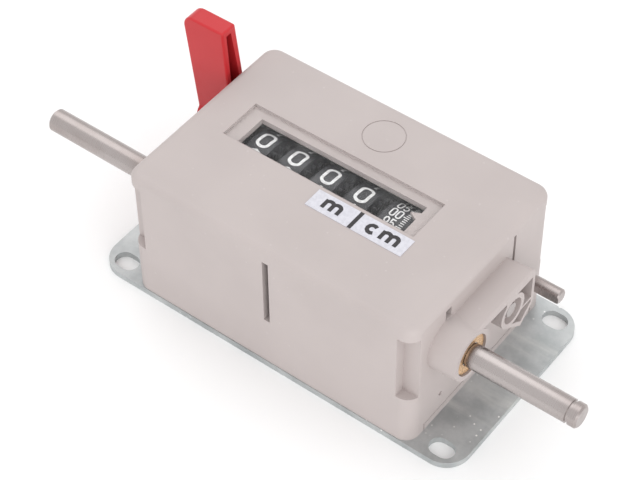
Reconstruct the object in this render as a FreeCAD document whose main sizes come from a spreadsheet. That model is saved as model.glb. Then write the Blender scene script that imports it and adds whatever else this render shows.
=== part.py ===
import FreeCAD, Part
import math
import os
import re
import Sketcher
from FreeCAD import Placement, Rotation, Vector

# Mechanical metre counter with a reset lever.  Millimetres, +Z up.
# +X runs along the shafts, the way the numbers read; +Y points to the back.
# Origin: centre of the four base slots, on the underside of the base plate.

SIZES = {
    # base plate
    "plate_reach_x": 10.35, "plate_reach_y": 0.2, "plate_thick": 1.5, "plate_corner": 5.5,
    "slot_reach_x": 5.35, "slot_inset_y": 3.3, "slot_length": 5.6, "slot_width": 4.2,
    # housing shell
    "case_length": 69.3, "case_width": 46.6, "case_top": 34.3, "case_wall": 1.8, "roof_thick": 2.1,
    "case_corner": 3.1, "case_round": 1.7, "relief_half": 18.7, "relief_top": 3.45,
    "notch_x": 3.73, "notch_y": 2.4, "notch_low": 14.2, "notch_high": 31.2, "notch_wall": 1.3,
    "slit_centre": 0.1, "slit_width": 1.45, "slit_low": 14.0, "slit_high": 31.0,
    "badge_x": 0.1, "badge_y": 15.0, "badge_radius": 4.5, "badge_line": 0.22, "badge_depth": 0.14,
    # window in the roof
    "view_reach_left": 3.21, "view_reach_right": 4.53, "view_reach_front": 3.65, "view_reach_back": 4.05,
    "ledge_left": 3.3, "ledge_right": 2.7, "ledge_front": 0.7, "ledge_back": 2.1,
    "pane_thick": 0.8, "pane_gap": 0.1, "pointer_length": 1.9, "pointer_half": 1.0,
    "pointer_thick": 0.9, "pointer_sink": 1.2,
    "label_reach": 0.9, "label_gap": 0.8, "label_length": 22.5, "label_width": 4.8, "label_thick": 0.15,
    # drive shaft and its bearings
    "shaft_y": -12.7, "shaft_z": 23.3, "shaft_radius": 2.5, "stub_right": 24.05, "stub_left": 26.45,
    "shaft_chamfer": 0.4, "ring_inset": 2.5, "ring_groove_width": 0.7, "groove_depth": 0.3,
    "bush_wall": 2.05, "bush_play": 0.03, "bush_sink": 0.4, "bush_chamfer": 0.25, "mark_depth": 0.2,
    "mark_width": 0.6,
    "boss_wall": 1.05, "boss_spread": 0.3,
    "block_depth": 6.1, "left_boss_depth": 2.5, "bush_right_length": 8.4, "bush_left_length": 6.0,
    "clip_thick": 0.6, "clip_radius": 3.9, "clip_opening": 1.8, "washer_thick": 0.5, "end_play": 0.15,
    # bearing block in the right end wall, outlines in Y and Z
    "block_top_drop": 0.1, "block_back": 8.3, "block_side_foot": 19.2, "block_toe_y": 4.3,
    "block_toe_z": 15.5, "block_heel_y": 2.6, "block_heel_z": 16.9, "block_hip_y": -1.2,
    "block_hip_z": 19.8, "block_pit_y": -1.5, "block_pit_back_z": 27.2, "block_pit_front_y": -9.3,
    "block_pit_front_z": 27.7, "block_draft": 0.3, "block_wall": 0.85, "block_web": 0.55,
    "block_pocket_depth": 4.6, "block_roof": 1.9, "block_corner": 1.2, "block_edge": 0.5,
    # slits and a pin mark in the right end wall
    "front_slit_y": -13.05, "front_slit_width": 1.8, "front_slit_low": 29.2, "front_slit_top": 31.8,
    "back_slit_y": 9.6, "back_slit_width": 0.8, "back_slit_low": 22.0, "back_slit_top": 32.3,
    "pin_mark_y": -13.4, "pin_mark_z": 7.7, "pin_mark_radius": 0.5, "pin_mark_depth": 0.6,
    "axle_boss_radius": 3.95, "axle_boss_pocket": 2.9, "axle_pocket_depth": 1.3,
    # number wheels
    "axle_y": 0.95, "axle_z": 23.1, "axle_radius": 1.6, "axle_sink": 0.4, "wheel_play": 0.05,
    "wheel_radius": 8.7, "wheel_pitch": 8.14, "first_wheel_x": -19.49, "rim_half": 2.6,
    "cm_rim_right": 4.4, "ring_width": 0.9, "heart_width": 0.9, "transfer_width": 0.8,
    "transfer_radius": 6.4, "heart_high": 6.2, "heart_low": 2.7, "hub_radius": 2.4, "side_gap": 0.12,
    "spacer_radius": 2.5,
    # transfer pinions
    "ring_teeth": 20, "pinion_teeth": 8, "transfer_module": 0.72, "pinion_axle_radius": 1.0,
    "pinion_play": 0.04, "pinion_step": 0.2,
    # gears between the drive shaft and the centimetre wheel
    "drive_teeth": 20, "idler_teeth": 16, "cm_teeth": 40, "gear_module": 0.4, "gear_width": 1.6,
    "gear_gap": 0.28, "idler_pin_radius": 1.2, "idler_play": 0.04, "gear_hub_radius": 4.4,
    "gear_hub_length": 3.2, "screw_radius": 1.0, "screw_sink": 0.3,
    # bottom frame
    "frame_floor": 1.7, "frame_gap": 0.25, "flange_half": 18.4, "flange_depth": 3.0,
    "screw_inset_x": 6.25, "screw_inset_y": 5.1, "boss_r": 2.8, "boss_height": 11.0, "boss_clear": 0.5,
    "upright_thick": 1.6, "upright_left_room": 7.11, "upright_right_room": 1.85, "upright_top": 20.1,
    "upright_half": 4.2, "upright_front": -12.2,
    # base screws
    "base_screw_radius": 1.25, "base_head_radius": 2.5, "base_head_depth": 1.25,
    "base_screw_length": 9.0, "screw_slot_width": 0.6, "screw_slot_depth": 0.5,
    # reset shaft, comb and lever
    "reset_y": 13.8, "reset_z": 17.3, "reset_radius": 1.6, "reset_play": 0.04, "reset_stub": 9.35,
    "reset_sink": 0.2, "reset_groove_width": 0.8, "reset_groove_depth": 0.45,
    "reset_groove_length": 9.0, "reset_flat": 1.25, "reset_travel": 40.0,
    "comb_radius": 2.9, "comb_reach_left": 5.51, "comb_reach_right": 0.57, "finger_reach": 7.3,
    "finger_width": 0.7, "finger_thick": 1.5, "comb_pin_radius": 0.5, "comb_pin_x": -6.0,
    "spring_gap": 0.7, "spring_turns": 6, "spring_wire": 0.5, "spring_radius": 2.55,
    "spring_pitch": 0.75,
    "lever_rise": 9.8, "lever_before": 3.1, "lever_behind_top": 1.1, "lever_behind_low": 3.1,
    "lever_clear": 0.95, "lever_lean": 1.5, "lever_width_low": 9.0, "lever_width_top": 10.7,
    "lever_hub": 4.3, "lever_corner": 2.6, "lever_edge": 0.5,
    "lever_slot_front": 1.15, "lever_slot_back": 1.6, "lever_slot_top": 1.3, "lever_slot_depth": 7.0,
    "lever_slot_low": 23.0,
}

# Places and sizes that follow from the sizes above.
DERIVED = {
    "case_half_x": "case_length / 2", "case_half_y": "case_width / 2",
    "inner_x": "case_half_x - case_wall", "inner_y": "case_half_y - case_wall",
    "plate_length": "case_length + 2 * plate_reach_x", "plate_width": "case_width + 2 * plate_reach_y",
    "slot_pitch_x": "case_length + 2 * slot_reach_x", "slot_pitch_y": "case_width - 2 * slot_inset_y",
    "screw_x": "case_half_x - screw_inset_x", "screw_y": "case_half_y - screw_inset_y",
    "view_left": "first_wheel_x - view_reach_left", "view_right": "cm_wheel_x + view_reach_right",
    "view_front": "axle_y - view_reach_front", "view_back": "axle_y + view_reach_back",
    "pane_left": "view_left - ledge_left", "pane_right": "view_right + ledge_right",
    "pane_front": "view_front - ledge_front", "pane_back": "view_back + ledge_back",
    "label_right": "pane_right + label_reach", "label_left": "label_right - label_length",
    "label_back": "pane_front - label_gap", "label_front": "label_back - label_width",
    "bush_radius": "shaft_radius + bush_wall", "boss_radius": "bush_radius + boss_wall",
    "boss_foot": "boss_radius + boss_spread", "block_top": "shaft_z + boss_radius - block_top_drop",
    "bush_right_face": "block_face - bush_sink", "bush_left_face": "left_face + bush_sink",
    "shaft_right": "block_face + stub_right", "shaft_left": "left_face - stub_left",
    "ring_groove_x": "shaft_right - ring_inset", "mark_radius": "shaft_radius - mark_depth",
    "roof_low": "case_top - roof_thick", "block_face": "case_half_x + block_depth",
    "left_face": "-case_half_x - left_boss_depth",
    "ring_pitch_radius": "ring_teeth * transfer_module / 2",
    "pinion_pitch_radius": "pinion_teeth * transfer_module / 2",
    "pinion_z": "axle_z - ring_pitch_radius - pinion_pitch_radius",
    "drive_reach": "(drive_teeth + idler_teeth) * gear_module / 2",
    "cm_reach": "(idler_teeth + cm_teeth) * gear_module / 2",
    "gap_y": "axle_y - shaft_y", "gap_z": "axle_z - shaft_z", "gap": "sqrt(gap_y ^ 2 + gap_z ^ 2)",
    "along": "(gap ^ 2 + drive_reach ^ 2 - cm_reach ^ 2) / (2 * gap)",
    "below": "sqrt(drive_reach ^ 2 - along ^ 2)",
    "idler_y": "shaft_y + (along * gap_y + below * gap_z) / gap",
    "idler_z": "shaft_z + (along * gap_z - below * gap_y) / gap",
    "floor_top": "plate_thick + frame_floor",
    "gear_start_x": "cm_wheel_x + cm_rim_right + gear_gap", "gear_end_x": "gear_start_x + gear_width",
    "upright_left_x": "first_wheel_x - upright_left_room",
    "upright_right_x": "gear_end_x + upright_right_room",
    "upright_right_end": "upright_right_x + upright_thick",
    "upright_left_end": "upright_left_x + upright_thick",
    "cm_wheel_x": "first_wheel_x + 4 * wheel_pitch",
    "axle_end": "block_face - axle_sink",
    "clip_right_x": "bush_right_face - bush_right_length - end_play - washer_thick - clip_thick",
    "clip_left_x": "bush_left_face + bush_left_length + end_play + washer_thick",
    "groove_radius": "shaft_radius - groove_depth",
    "reset_clip_x": "inner_x - end_play - clip_thick", "reset_groove_radius": "reset_radius - groove_depth",
    "reset_right": "case_half_x + reset_stub", "reset_left": "lever_out_low + reset_sink",
    "comb_left": "first_wheel_x - comb_reach_left", "comb_right": "cm_wheel_x - comb_reach_right",
    "spring_left": "comb_right + spring_gap",
    "lever_in_low": "-case_half_x - lever_clear", "lever_in_top": "lever_in_low - lever_lean",
    "lever_out_low": "lever_in_low - lever_width_low", "lever_out_top": "lever_in_top - lever_width_top",
    "lever_front": "reset_y - lever_before", "lever_back_top": "reset_y + lever_behind_top",
    "lever_back_low": "reset_y + lever_behind_low", "lever_low": "reset_z",
    "lever_top": "case_top + lever_rise",
}

PRESSURE_ANGLE = math.radians(20)
ADDENDUM, DEDENDUM = 0.85, 1.1         # tooth height outside and inside the pitch circle, in modules
TOOTH_SHARE = 0.8                      # tooth thickness as a share of half the pitch
WHEEL_NAMES = ("1000m", "100m", "10m", "1m")
X_AXIS = Vector(1, 0, 0)
ALONG_X = Rotation(Vector(0, 1, 0), 90)          # turns a cylinder's +Z axis to +X
FACE_YZ = Rotation(Vector(1, 1, 1), 120)         # sketch x to Y, sketch y to Z, normal to +X
FACE_XZ = Rotation(X_AXIS, 90)                   # sketch x to X, sketch y to Z, normal to -Y

doc = FreeCAD.newDocument("metre_counter")
sheet = doc.addObject("Spreadsheet::Sheet", "dim")
for row, (alias, size) in enumerate(SIZES.items(), start=1):
    sheet.set(f"A{row}", alias)
    sheet.set(f"B{row}", str(size))
    sheet.setAlias(f"B{row}", alias)
doc.recompute()
nodes = []


# ---- binding to the sheet -------------------------------------------------------------------

def formula(text):
    """Write a formula's size names as references to the sheet."""
    def refer(word):
        name = word.group()
        if name in SIZES:
            return "dim." + name
        return f"({formula(DERIVED[name])})" if name in DERIVED else name
    return re.sub(r"[a-z][a-z0-9_]*", refer, text)


def value(text):
    return float(sheet.evalExpression(formula(text)))


def bind(thing, **properties):
    for name, text in properties.items():
        thing.setExpression(name, formula(text))


def place(thing, x="0", y="0", z="0"):
    for letter, text in zip("xyz", (x, y, z)):
        thing.setExpression(f"Placement.Base.{letter}", formula(text))
    return thing


# ---- shapes ---------------------------------------------------------------------------------

def filleted(base, *rounds):
    """Round a shape's edges; each round is a radius and a test that picks its edges."""
    doc.recompute()
    result = doc.addObject("Part::Fillet", "Rounded")
    result.Base = base
    result.Edges = [(number, value(radius), value(radius))
                    for number, edge in enumerate(base.Shape.Edges, start=1)
                    for radius, wanted in rounds if wanted(edge)]
    doc.recompute()
    if result.Shape.isNull():
        raise RuntimeError(f"{base.Label} can't be rounded")
    return result


def box(x, y, z):
    block = doc.addObject("Part::Box", "Box")
    spans = [f"({high}) - ({low})" for low, high in (x, y, z)]
    bind(block, Length=spans[0], Width=spans[1], Height=spans[2])
    return place(block, x[0], y[0], z[0])


def centred_box(half_x, half_y, z):
    return box((f"-({half_x})", half_x), (f"-({half_y})", half_y), z)


def rod(radius, x, y, z):
    """A cylinder along X."""
    cylinder = doc.addObject("Part::Cylinder", "Rod")
    bind(cylinder, Radius=radius, Height=f"({x[1]}) - ({x[0]})")
    cylinder.Placement = Placement(Vector(), ALONG_X)
    return place(cylinder, x[0], y, z)


def post(radius, x, y, z):
    """A cylinder along Z."""
    cylinder = doc.addObject("Part::Cylinder", "Post")
    bind(cylinder, Radius=radius, Height=f"({z[1]}) - ({z[0]})")
    return place(cylinder, x, y, z[0])


def cone(radii, x, y, z):
    """A cone along X, from the first radius to the second."""
    frustum = doc.addObject("Part::Cone", "Cone")
    bind(frustum, Radius1=radii[0], Radius2=radii[1], Height=f"({x[1]}) - ({x[0]})")
    frustum.Placement = Placement(Vector(), ALONG_X)
    return place(frustum, x[0], y, z)


def fuse(*things):
    joined = doc.addObject("Part::MultiFuse", "Joined")
    joined.Shapes = list(things)
    joined.Refine = True
    return joined


def cut(base, *tools):
    result = doc.addObject("Part::Cut", "Cut")
    result.Base = base
    result.Tool = tools[0] if len(tools) == 1 else fuse(*tools)
    result.Refine = True
    return result


def overlap(first, second):
    both = doc.addObject("Part::MultiCommon", "Overlap")
    both.Shapes = [first, second]
    return both


def draw(sketch, corners):
    """Draw a closed outline whose corners are bound to the sheet."""
    spots = [Vector(value(x), value(y), 0) for x, y in corners]
    count = len(spots)
    for index, spot in enumerate(spots):
        sketch.addGeometry(Part.LineSegment(spot, spots[(index + 1) % count]), False)
    for index in range(count):
        sketch.addConstraint(Sketcher.Constraint("Coincident", index, 2, (index + 1) % count, 1))
    for index, corner in enumerate(corners):
        for kind, axis, text in (("DistanceX", -2, corner[0]), ("DistanceY", -1, corner[1])):
            if text == "0":
                sketch.addConstraint(Sketcher.Constraint("PointOnObject", index, 1, axis))
            else:
                number = sketch.addConstraint(Sketcher.Constraint(kind, -1, 1, index, 1, value(text)))
                sketch.setExpression(f"Constraints[{number}]", formula(text))
    return sketch


def outline(corners, turn, x="0", y="0", z="0"):
    """A closed outline on a plane of its own, for an extrusion or a loft."""
    sketch = doc.addObject("Sketcher::SketchObject", "Outline")
    sketch.Placement = Placement(Vector(), turn)
    return draw(place(sketch, x, y, z), corners)


def extrude(sketch, length):
    solid = doc.addObject("Part::Extrusion", "Extrusion")
    solid.Base = sketch
    solid.DirMode = "Normal"
    solid.Solid = True
    bind(solid, LengthFwd=length)
    return solid


def slab_yz(corners, x):
    """A solid with an outline in Y and Z, from the first x to the second."""
    return extrude(outline(corners, FACE_YZ, x=x[0]), f"({x[1]}) - ({x[0]})")


def slab_xz(corners, y):
    """A solid with an outline in X and Z, from the first y to the second."""
    return extrude(outline(corners, FACE_XZ, y=y[1]), f"({y[1]}) - ({y[0]})")


def loft(*sketches):
    solid = doc.addObject("Part::Loft", "Loft")
    solid.Sections = list(sketches)
    solid.Solid = True
    solid.Ruled = True
    return solid


def new_body(name):
    return doc.addObject("PartDesign::Body", name)


def body_sketch(body, role, corners):
    """A closed outline on one of a body's own origin planes."""
    sketch = body.newObject("Sketcher::SketchObject", "Sketch")
    plane = next(item for item in body.Origin.OriginFeatures if item.Role == role)
    sketch.AttachmentSupport = [(plane, "")]
    sketch.MapMode = "FlatFace"
    doc.recompute()
    return draw(sketch, corners)


def padded_plate(name, half_x, half_y, height):
    """A body with a rectangle padded upwards."""
    body = new_body(name)
    corners = [(f"-({half_x})", f"-({half_y})"), (half_x, f"-({half_y})"), (half_x, half_y),
               (f"-({half_x})", half_y)]
    sketch = body_sketch(body, "XY_Plane", corners)
    pad = body.newObject("PartDesign::Pad", "Pad")
    pad.Profile = sketch
    bind(pad, Length=height)
    doc.recompute()
    return body, pad


def round_edges(body, feature, radius, wanted):
    """Round the edges of a body that a test picks out."""
    names = [f"Edge{number}" for number, edge in enumerate(feature.Shape.Edges, start=1) if wanted(edge)]
    fillet = body.newObject("PartDesign::Fillet", "Round")
    fillet.Base = (feature, names)
    bind(fillet, Radius=radius)
    doc.recompute()
    return fillet


def is_upright(edge):
    return edge.BoundBox.ZLength > 1e-6 and edge.BoundBox.XLength + edge.BoundBox.YLength < 1e-6


def turned(name, profile, y, z):
    """A body revolved about X from (x, radius) corners."""
    body = new_body(name)
    sketch = body_sketch(body, "XY_Plane", profile)
    revolve = body.newObject("PartDesign::Revolution", "Revolution")
    revolve.Profile = sketch
    revolve.ReferenceAxis = (sketch, ["H_Axis"])
    revolve.Angle = 360
    doc.recompute()
    return place(body, y=y, z=z)


def feature(shape, x="0", y="0", z="0", spin=0.0, turn=Rotation()):
    """A free shape, turned, spun about X and put in place."""
    item = doc.addObject("Part::Feature", "Shape")
    item.Shape = shape
    item.Placement = Placement(Vector(value(x), value(y), value(z)), Rotation(X_AXIS, spin) * turn)
    return item


def node(thing, name):
    """Give a finished sub-part its name."""
    thing.Label = name
    nodes.append(thing)
    return thing


# ---- gear teeth -----------------------------------------------------------------------------

def involute(angle):
    return math.tan(angle) - angle


def tooth_half_angle(radius, teeth, pitch_radius):
    """Half the angle that a tooth fills at a radius."""
    base = pitch_radius * math.cos(PRESSURE_ANGLE)
    lean = math.acos(min(1.0, base / radius))
    return TOOTH_SHARE * math.pi / (2 * teeth) + involute(PRESSURE_ANGLE) - involute(lean)


def gear(teeth_name, module_name, width_name):
    """A toothed disc along +X with a tooth centred on +Y."""
    teeth, module = round(value(teeth_name)), value(module_name)
    pitch_radius = teeth * module / 2
    flank = [pitch_radius - DEDENDUM * module, pitch_radius, pitch_radius + ADDENDUM * module]
    points = []
    for tooth in range(teeth):
        centre = 2 * math.pi * tooth / teeth
        halves = [tooth_half_angle(radius, teeth, pitch_radius) for radius in flank]
        sides = [(r, centre - h) for r, h in zip(flank, halves)]
        sides += [(r, centre + h) for r, h in zip(reversed(flank), reversed(halves))]
        points += [Vector(0, r * math.cos(a), r * math.sin(a)) for r, a in sides]
    face = Part.Face(Part.makePolygon(points + points[:1]))
    return face.extrude(Vector(value(width_name), 0, 0))


def degrees_between(from_y, from_z, to_y, to_z):
    return math.degrees(math.atan2(value(to_z) - value(from_z), value(to_y) - value(from_y)))


def mesh_spin(teeth, own_direction, other_spin, other_teeth):
    """Turn of a gear whose gap meets the tooth of the gear it meshes with."""
    other_pitch = 360 / value(other_teeth)
    own_pitch = 360 / value(teeth)
    other_direction = own_direction + 180
    phase = ((other_direction - other_spin) / other_pitch) % 1.0
    return own_direction + own_pitch / 2 + phase * own_pitch


# ---- base plate, screws and bottom frame ----------------------------------------------------

def corner_signs():
    return [(x, y) for x in (-1, 1) for y in (-1, 1)]


def base_slot(sign_x, sign_y):
    """A slot along X with round ends, cut through the plate."""
    centre_x, centre_y = f"{sign_x} * slot_pitch_x / 2", f"{sign_y} * slot_pitch_y / 2"
    straight = "(slot_length - slot_width) / 2"
    depth = ("-plate_thick", "2 * plate_thick")
    middle = box((f"{centre_x} - {straight}", f"{centre_x} + {straight}"),
                 (f"{centre_y} - slot_width / 2", f"{centre_y} + slot_width / 2"), depth)
    ends = [post("slot_width / 2", f"{centre_x} {side} {straight}", centre_y, depth) for side in "+-"]
    return fuse(middle, *ends)


def countersink(sign_x, sign_y, play="0"):
    """Head and shank of a base screw, grown by a clearance."""
    at_x, at_y = f"{sign_x} * screw_x", f"{sign_y} * screw_y"
    head = doc.addObject("Part::Cone", "Head")
    bind(head, Radius1=f"base_head_radius + {play}", Radius2=f"base_screw_radius + {play}",
         Height="base_head_depth")
    place(head, at_x, at_y, "0")
    shank = post(f"base_screw_radius + {play}", at_x, at_y, ("0", "base_screw_length"))
    return fuse(head, shank)


def base_plate():
    body, pad = padded_plate("Plate", "plate_length / 2", "plate_width / 2", "plate_thick")
    round_edges(body, pad, "plate_corner", is_upright)
    slots = [base_slot(x, y) for x, y in corner_signs()]
    sinks = [countersink(x, y) for x, y in corner_signs()]
    return node(cut(body, *slots, *sinks), "base_plate")


def base_screws():
    screws = []
    for x, y in corner_signs():
        driver = box((f"{x} * screw_x - base_head_radius", f"{x} * screw_x + base_head_radius"),
                     (f"{y} * screw_y - screw_slot_width / 2", f"{y} * screw_y + screw_slot_width / 2"),
                     ("-screw_slot_depth", "screw_slot_depth"))
        screws.append(cut(countersink(x, y), driver))
    return node(fuse(*screws), "base_screws")


def upright(x, front, back):
    return box(x, (front, back), ("plate_thick + frame_floor / 2", "upright_top"))


def bottom_frame():
    """Moulded floor on the plate, with end flanges and two uprights for the small axles."""
    level = ("plate_thick", "floor_top")
    floor = centred_box("inner_x - frame_gap", "inner_y - frame_gap", level)
    corners = [box((f"{x} * screw_x - boss_r - boss_clear", f"{x} * screw_x + 2 * boss_r + boss_clear")
                   if x > 0 else
                   (f"{x} * screw_x - 2 * boss_r - boss_clear", f"{x} * screw_x + boss_r + boss_clear"),
                   (f"{y} * screw_y - boss_r - boss_clear", f"{y} * screw_y + 2 * boss_r + boss_clear")
                   if y > 0 else
                   (f"{y} * screw_y - 2 * boss_r - boss_clear", f"{y} * screw_y + boss_r + boss_clear"),
                   level) for x, y in corner_signs()]
    low = ("plate_thick", "relief_top - frame_gap")
    half = ("-flange_half", "flange_half")
    flanges = [box(("case_half_x - flange_depth", "case_half_x"), half, low),
               box(("-case_half_x", "flange_depth - case_half_x"), half, low)]
    right = upright(("upright_right_x", "upright_right_end"), "upright_front", "axle_y + upright_half")
    left = upright(("upright_left_x", "upright_left_end"), "axle_y - upright_half", "axle_y + upright_half")
    bores = [rod("pinion_axle_radius", ("upright_left_x", "upright_right_end"), "axle_y", "pinion_z"),
             rod("idler_pin_radius", ("upright_right_x", "upright_right_end"), "idler_y", "idler_z")]
    solid = fuse(cut(floor, *corners), *flanges, right, left)
    return node(cut(solid, *bores), "bottom_frame")


# ---- housing --------------------------------------------------------------------------------

def block_outline(draft):
    """Side view of the bearing block, with its top and back drawn in."""
    return [("shaft_y", f"block_top - {draft}"), (f"block_back - {draft}", f"block_top - {draft}"),
            (f"block_back - {draft}", "block_side_foot"),
            ("block_toe_y", "block_toe_z"), ("block_heel_y", "block_heel_z"),
            ("block_hip_y", "block_hip_z"), ("block_pit_y", "block_pit_back_z"),
            ("block_pit_front_y", "block_pit_front_z"), ("shaft_y", "shaft_z")]


def block_pockets():
    """Two blind pockets between the axle boss and the block's back wall."""
    depth = ("block_face - block_pocket_depth", "block_face + end_play")
    side = "block_back - block_wall"
    web = "axle_z - axle_boss_radius / 2"
    upper = [("axle_y", "block_top - block_roof"), (side, "block_top - block_roof"), (side, web),
             ("block_toe_y", web), ("axle_y", "axle_z")]
    lower = [("axle_y", "axle_z - axle_boss_radius"),
             ("block_heel_y + block_web", "block_heel_z + block_wall"),
             ("block_toe_y", "block_toe_z + 1.5 * block_wall"),
             (side, "block_side_foot + block_web"),
             (side, f"{web} - block_web"), ("axle_y", f"{web} - block_web")]
    boss = rod("axle_boss_radius", ("case_half_x", "block_face + block_depth"), "axle_y", "axle_z")
    return cut(fuse(slab_yz(upper, depth), slab_yz(lower, depth)), boss)


def rounded_block(block):
    """Round the block's top edges: the long one at the back and the one along its face."""
    def at_top_back(edge):
        bounds = edge.BoundBox
        return (bounds.ZMin > value("block_top - block_wall") and
                bounds.YMax > value("block_back - block_wall"))

    def along(edge):
        return at_top_back(edge) and edge.BoundBox.XLength > value("block_wall")

    def face(edge):
        bounds = edge.BoundBox
        return at_top_back(edge) and not along(edge) and bounds.XMin > value("block_face - block_wall")

    return filleted(block, ("block_corner", along), ("block_edge", face))


def bearing_block():
    """Right end: shaft boss, axle boss and the webs between them."""
    root = "case_half_x - case_wall / 2"
    foot = outline(block_outline("block_draft"), FACE_YZ, x=root)
    face = outline(block_outline("0"), FACE_YZ, x="block_face")
    body = cut(rounded_block(loft(foot, face)), block_pockets())
    shaft_boss = cone(("boss_foot", "boss_radius"), (root, "block_face"), "shaft_y", "shaft_z")
    axle_boss = rod("axle_boss_radius", (root, "block_face"), "axle_y", "axle_z")
    return fuse(body, shaft_boss, axle_boss)


def left_boss():
    root = "case_wall / 2 - case_half_x"
    return cone(("boss_radius", "boss_foot"), ("left_face", root), "shaft_y", "shaft_z")


def signed_span(sign, near, far):
    """A span from near to far on one side of zero, in rising order."""
    return (near, far) if sign > 0 else (f"-({far})", f"-({near})")


def cavity():
    """Hollow of the shell, less the walls behind the corner notches and the screw bosses."""
    hollow = centred_box("inner_x", "inner_y", ("plate_thick", "roof_low"))
    kept = []
    for x, y in corner_signs():
        kept.append(box(signed_span(x, "case_half_x - notch_x - notch_wall", "case_half_x"),
                        signed_span(y, "case_half_y - notch_y - notch_wall", "case_half_y"),
                        ("notch_low - notch_wall", "case_top")))
        kept.append(post("boss_r", f"{x} * screw_x", f"{y} * screw_y", ("plate_thick", "boss_height")))
        kept.append(box((f"{x} * screw_x - boss_r / 2", f"{x} * screw_x + boss_r / 2"),
                        signed_span(y, "screw_y", "case_half_y"), ("plate_thick", "boss_height")))
    return cut(hollow, *kept)


def corner_notches():
    return [box(signed_span(x, "case_half_x - notch_x", "case_half_x + notch_x"),
                signed_span(y, "case_half_y - notch_y", "case_half_y + notch_y"),
                ("notch_low", "notch_high")) for x, y in corner_signs()]


def window_cuts():
    """The opening over the wheels and the shallow seat of the pane."""
    opening = box(("view_left", "view_right"), ("view_front", "view_back"), ("roof_low", "case_top"))
    seat = box(("pane_left", "pane_right"), ("pane_front", "pane_back"),
               ("case_top - pane_thick", "case_top + pane_thick"))
    return opening, seat


def pointer():
    """Index at the right end of the window, level with the reading line."""
    line = "axle_y + pointer_sink"
    corners = [("view_right + pointer_half", f"{line} - pointer_half"),
               ("view_right + pointer_half", f"{line} + pointer_half"),
               ("view_right", f"{line} + pointer_half"), ("view_right - pointer_length", line),
               ("view_right", f"{line} - pointer_half")]
    return extrude(outline(corners, Rotation(), z="case_top - pane_thick - pointer_thick"), "pointer_thick")


def end_wall_slits():
    """Slits beside the block, through the right end wall."""
    wall = ("inner_x - case_wall", "case_half_x + case_wall")
    return [box(wall, ("front_slit_y", "front_slit_y + front_slit_width"),
                ("front_slit_low", "front_slit_top")),
            box(wall, ("back_slit_y", "back_slit_y + back_slit_width"), ("back_slit_low", "back_slit_top"))]


def pin_mark():
    """Small round mark low in the right end wall."""
    return rod("pin_mark_radius", ("case_half_x - pin_mark_depth", "case_half_x + case_wall"),
               "pin_mark_y", "pin_mark_z")


def badge_line():
    """Fine ring pressed into the roof."""
    depth = ("case_top - badge_depth", "case_top + badge_depth")
    outer = post("badge_radius", "badge_x", "badge_y", depth)
    return cut(outer, post("badge_radius - badge_line", "badge_x", "badge_y", depth))


def end_reliefs():
    """Low gaps under both end walls, where the bottom frame's flanges show."""
    return centred_box("case_half_x + case_wall", "relief_half", ("0", "relief_top"))


def bearing_bores():
    """Seats for the bushes, the wheel axle and the reset shaft."""
    through = ("left_face - case_wall", "block_face + case_wall")
    reset = ("-case_half_x - case_wall", "case_half_x + case_wall")
    return [rod("bush_radius", through, "shaft_y", "shaft_z"),
            rod("axle_radius", through, "axle_y", "axle_z"),
            rod("axle_boss_pocket", ("block_face - axle_pocket_depth", "block_face + case_wall"),
                "axle_y", "axle_z"),
            rod("reset_radius + reset_play", reset, "reset_y", "reset_z")]


def housing():
    shell, pad = padded_plate("Shell", "case_half_x", "case_half_y", "case_top - plate_thick")
    place(shell, z="plate_thick")
    corners = round_edges(shell, pad, "case_corner", is_upright)
    top = max(edge.BoundBox.ZMax for edge in corners.Shape.Edges)
    round_edges(shell, corners, "case_round", lambda edge: edge.BoundBox.ZMin > top - case_edge_margin())
    slit = box(("slit_centre - slit_width / 2", "slit_centre + slit_width / 2"),
               ("-case_half_y - case_wall", "-inner_y"), ("slit_low", "slit_high"))
    sinks = [post("base_screw_radius", f"{x} * screw_x", f"{y} * screw_y", ("0", "base_screw_length"))
             for x, y in corner_signs()]
    opening, seat = window_cuts()
    solid = cut(fuse(shell, bearing_block(), left_boss()), cavity(), opening, seat, slit, badge_line(),
                end_reliefs(), pin_mark(), *end_wall_slits(), *corner_notches(), *bearing_bores(), *sinks)
    return node(fuse(solid, pointer()), "housing")


def case_edge_margin():
    return value("case_wall") / 100


def window_pane():
    pane = box(("pane_left + pane_gap", "pane_right - pane_gap"),
               ("pane_front + pane_gap", "pane_back - pane_gap"), ("case_top - pane_thick", "case_top"))
    return node(pane, "window_pane")


def unit_label():
    label = box(("label_left", "label_right"), ("label_front", "label_back"),
                ("case_top", "case_top + label_thick"))
    return node(label, "unit_label")


# ---- drive shaft ----------------------------------------------------------------------------

def grooved(profile, start, width, outer, inner):
    """Add the four corners of a ring groove to a turned profile."""
    end = f"{start} + {width}"
    profile += [(start, outer), (start, inner), (end, inner), (end, outer)]


def drive_shaft():
    profile = [("shaft_left", "0"), ("shaft_left", "shaft_radius - shaft_chamfer"),
               ("shaft_left + shaft_chamfer", "shaft_radius")]
    for start, width, depth in (("left_face", "mark_width", "mark_radius"),
                                ("clip_left_x", "clip_thick", "groove_radius"),
                                ("clip_right_x", "clip_thick", "groove_radius"),
                                ("block_face - mark_width", "mark_width", "mark_radius"),
                                ("ring_groove_x", "ring_groove_width", "groove_radius")):
        grooved(profile, start, width, "shaft_radius", depth)
    profile += [("shaft_right - shaft_chamfer", "shaft_radius"),
                ("shaft_right", "shaft_radius - shaft_chamfer"), ("shaft_right", "0")]
    return node(turned("Drive_shaft", profile, "shaft_y", "shaft_z"), "drive_shaft")


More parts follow.
